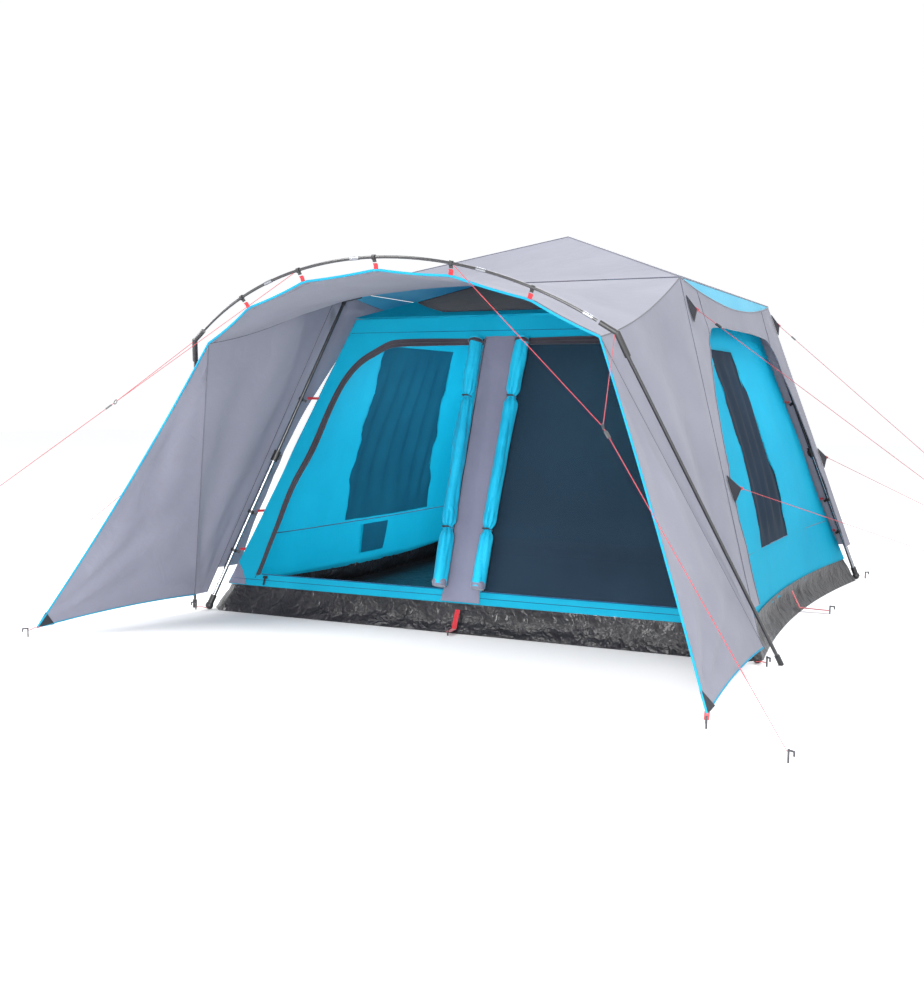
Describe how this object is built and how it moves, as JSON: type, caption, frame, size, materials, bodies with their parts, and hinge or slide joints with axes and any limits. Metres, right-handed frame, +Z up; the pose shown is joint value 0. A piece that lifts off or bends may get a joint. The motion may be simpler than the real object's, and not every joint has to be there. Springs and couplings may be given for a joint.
{
  "type": "tunnel tent",
  "caption": "Family tent with an instant telescoping hub frame, flysheet, hung inner with two front doors and an arched front porch held out by guy lines.",
  "frame": {"origin": "centre of the groundsheet's underside, on the ground", "axes": "+Z up, the front with the two doors and the porch faces -Y, +X is to the right when looking along +Y"},
  "size_m": [5.4999, 5.2832, 2.115],
  "materials": {
    "fabric_grey": "woven coated polyester, matt",
    "fabric_blue": "thin woven polyester, slight sheen",
    "mesh_dark": "fine dark insect mesh",
    "zip_tape": "woven zip tape",
    "groundsheet": "crinkled polyethylene sheet, semi-gloss",
    "patch_dark": "doubled reinforcement cloth",
    "webbing_red": "narrow woven webbing",
    "cord_red": "braided 3 mm cord",
    "plastic_black": "moulded nylon",
    "steel_black": "black powder coat",
    "steel_bright": "zinc-plated steel"
  },
  "bodies": {
    "pitched_tent": {"arch_ferrules": "steel_bright", "arch_fittings": "plastic_black", "arch_hooks": "plastic_black", "arch_legs": "steel_bright", "arch_pole": "steel_black", "canopy": "fabric_grey", "centre_strip": "fabric_grey", "door_mesh": "mesh_dark", "door_roll_ties": "plastic_black", "door_rolls": "fabric_blue", "door_zip_tapes": "zip_tape", "fly_left_side": "fabric_grey", "fly_rear_wall": "fabric_grey", "fly_right_side": "fabric_grey", "groundsheet": "groundsheet", "guy_front_left": "cord_red", "guy_front_right": "cord_red", "guy_yokes": "cord_red", "guys_mid": "cord_red", "guys_side": "cord_red", "inner_front_wall": "fabric_blue", "inner_left_wall": "fabric_blue", "inner_rear_wall": "fabric_blue", "inner_right_wall": "fabric_blue", "pegs": "steel_bright", "porch_side_left": "fabric_grey", "porch_side_right": "fabric_grey", "pullout_patches": "patch_dark", "webbing": "webbing_red", "window_meshes": "mesh_dark", "wing_left": "fabric_grey", "wing_right": "fabric_grey"},
    "lower_leg_fl": {"lower_leg_fl": "steel_bright", "leg_fittings_fl": "plastic_black"},
    "upper_leg_fl": {"upper_leg_fl": "steel_black"},
    "runner_fl": {"runner_fl": "plastic_black"},
    "lower_leg_fr": {"lower_leg_fr": "steel_bright", "leg_fittings_fr": "plastic_black"},
    "upper_leg_fr": {"upper_leg_fr": "steel_black"},
    "runner_fr": {"runner_fr": "plastic_black"},
    "lower_leg_rl": {"lower_leg_rl": "steel_bright", "leg_fittings_rl": "plastic_black"},
    "upper_leg_rl": {"upper_leg_rl": "steel_black"},
    "runner_rl": {"runner_rl": "plastic_black"},
    "lower_leg_rr": {"lower_leg_rr": "steel_bright", "leg_fittings_rr": "plastic_black"},
    "upper_leg_rr": {"upper_leg_rr": "steel_black"},
    "runner_rr": {"runner_rr": "plastic_black"},
    "zip_slider_left": {"zip_slider_left": "plastic_black"},
    "runner_front_left": {"runner_front_left": "plastic_black"},
    "zip_slider_right": {"zip_slider_right": "plastic_black"},
    "runner_front_right": {"runner_front_right": "plastic_black"},
    "roof_frame": {"fly_roof": "fabric_grey", "inner_roof": "fabric_blue", "roof_mesh": "mesh_dark", "frame_elbows": "plastic_black", "roof_poles": "steel_bright", "roof_hub": "plastic_black"}
  },
  "joints": [
    {"name": "roof_lower", "type": "slide", "parent": "pitched_tent", "child": "roof_frame", "axis": [0, 0, 1], "range_m": [-0.6, 0], "deforming": ["canopy", "centre_strip", "door_mesh", "door_roll_ties", "door_rolls", "door_zip_tapes", "fly_left_side", "fly_rear_wall", "fly_right_side", "guys_mid", "guys_side", "inner_front_wall", "inner_left_wall", "inner_rear_wall", "inner_right_wall", "porch_side_left", "porch_side_right", "pullout_patches", "window_meshes"]},
    {"name": "leg_swing_fl", "type": "hinge", "parent": "pitched_tent", "child": "lower_leg_fl", "pos_m": [-1.49, -1.508, 0.022], "axis": [-0.6826, 0.7308, 0], "range_deg": [0, 10.68]},
    {"name": "leg_tele_fl", "type": "slide", "parent": "lower_leg_fl", "child": "upper_leg_fl", "axis": [0.3012, 0.2813, 0.9111], "range_m": [-0.52459, 0]},
    {"name": "leg_swing_fr", "type": "hinge", "parent": "pitched_tent", "child": "lower_leg_fr", "pos_m": [1.49, -1.508, 0.022], "axis": [-0.6826, -0.7308, 0], "range_deg": [0, 10.68]},
    {"name": "leg_tele_fr", "type": "slide", "parent": "lower_leg_fr", "child": "upper_leg_fr", "axis": [-0.3012, 0.2813, 0.9111], "range_m": [-0.52459, 0]},
    {"name": "leg_swing_rl", "type": "hinge", "parent": "pitched_tent", "child": "lower_leg_rl", "pos_m": [-1.49, 1.508, 0.022], "axis": [0.6826, 0.7308, 0], "range_deg": [0, 10.68]},
    {"name": "leg_tele_rl", "type": "slide", "parent": "lower_leg_rl", "child": "upper_leg_rl", "axis": [0.3012, -0.2813, 0.9111], "range_m": [-0.52459, 0]},
    {"name": "leg_swing_rr", "type": "hinge", "parent": "pitched_tent", "child": "lower_leg_rr", "pos_m": [1.49, 1.508, 0.022], "axis": [0.6826, -0.7308, 0], "range_deg": [0, 10.68]},
    {"name": "leg_tele_rr", "type": "slide", "parent": "lower_leg_rr", "child": "upper_leg_rr", "axis": [-0.3012, -0.2813, 0.9111], "range_m": [-0.52459, 0]},
    {"name": "zip_left", "type": "slide", "parent": "pitched_tent", "child": "zip_slider_left", "axis": [1, 0, 0], "range_m": [0, 0.95]},
    {"name": "zip_right", "type": "slide", "parent": "pitched_tent", "child": "zip_slider_right", "axis": [-1, 0, 0], "range_m": [0, 0.95]},
    {"name": "runner_slide_fl", "type": "slide", "parent": "roof_frame", "child": "runner_fl", "axis": [-0.4164, -0.6733, -0.611], "range_m": [-0.08, 0.5]},
    {"name": "runner_slide_fr", "type": "slide", "parent": "roof_frame", "child": "runner_fr", "axis": [0.5537, 0.6725, -0.4911], "range_m": [-0.08, 0.5]},
    {"name": "runner_slide_rl", "type": "slide", "parent": "roof_frame", "child": "runner_rl", "axis": [-0.6109, 0.1909, -0.7684], "range_m": [-0.08, 0.5]},
    {"name": "runner_slide_rr", "type": "slide", "parent": "roof_frame", "child": "runner_rr", "axis": [0.7289, 0.1843, -0.6593], "range_m": [-0.08, 0.5]},
    {"name": "runner_slide_front_left", "type": "slide", "parent": "pitched_tent", "child": "runner_front_left", "axis": [-0.6218, -0.5053, -0.5984], "range_m": [0, 0.6]},
    {"name": "runner_slide_front_right", "type": "slide", "parent": "pitched_tent", "child": "runner_front_right", "axis": [0.5818, -0.36, -0.7293], "range_m": [0, 0.6]}
  ],
  "couplings": [
    {"joint": "leg_swing_fl", "follows": "roof_lower", "rad_per_m": -0.31035},
    {"joint": "leg_tele_fl", "follows": "roof_lower", "ratio": 0.87264},
    {"joint": "leg_swing_fr", "follows": "roof_lower", "rad_per_m": -0.31035},
    {"joint": "leg_tele_fr", "follows": "roof_lower", "ratio": 0.87264},
    {"joint": "leg_swing_rl", "follows": "roof_lower", "rad_per_m": -0.31035},
    {"joint": "leg_tele_rl", "follows": "roof_lower", "ratio": 0.87264},
    {"joint": "leg_swing_rr", "follows": "roof_lower", "rad_per_m": -0.31035},
    {"joint": "leg_tele_rr", "follows": "roof_lower", "ratio": 0.87264}
  ]
}
